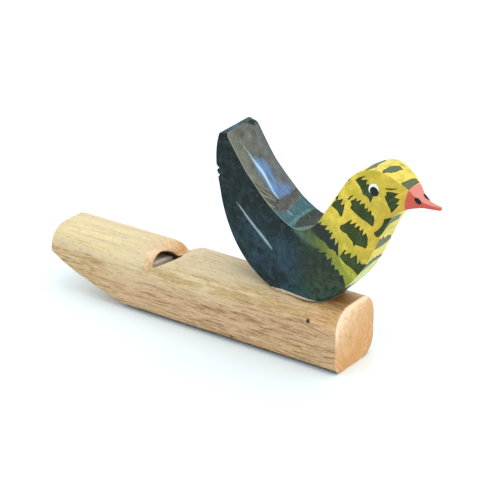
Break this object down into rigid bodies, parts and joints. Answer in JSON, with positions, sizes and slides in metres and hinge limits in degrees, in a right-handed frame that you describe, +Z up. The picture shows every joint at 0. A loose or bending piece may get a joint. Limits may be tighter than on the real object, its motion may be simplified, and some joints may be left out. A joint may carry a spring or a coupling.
{
  "type": "bird whistle",
  "caption": "Wooden bird whistle: a square stick with a stopped bore, a sawn window and a bevelled mouthpiece, with a carved and painted bird glued on top.",
  "frame": {"origin": "middle of the stick's length, on its flat underside, in its middle plane", "axes": "+X along the stick from the mouthpiece to its solid end, where the bird faces; +Z up, from the table to the bird"},
  "size_m": [0.1316, 0.02, 0.0646],
  "materials": {
    "pale_wood": "bare sanded wood, open grain, satin",
    "dowel_wood": "bare end grain, matte",
    "painted_wood": "hand-painted feathers in dark blue-green and yellow, coral beak, satin varnish",
    "dried_glue": "dried wood glue, slightly glossy"
  },
  "bodies": {
    "root": {"whistle_body": "pale_wood", "fipple_plug": "dowel_wood", "carved_bird": "painted_wood", "glue_bead": "dried_glue"}
  },
  "joints": []
}
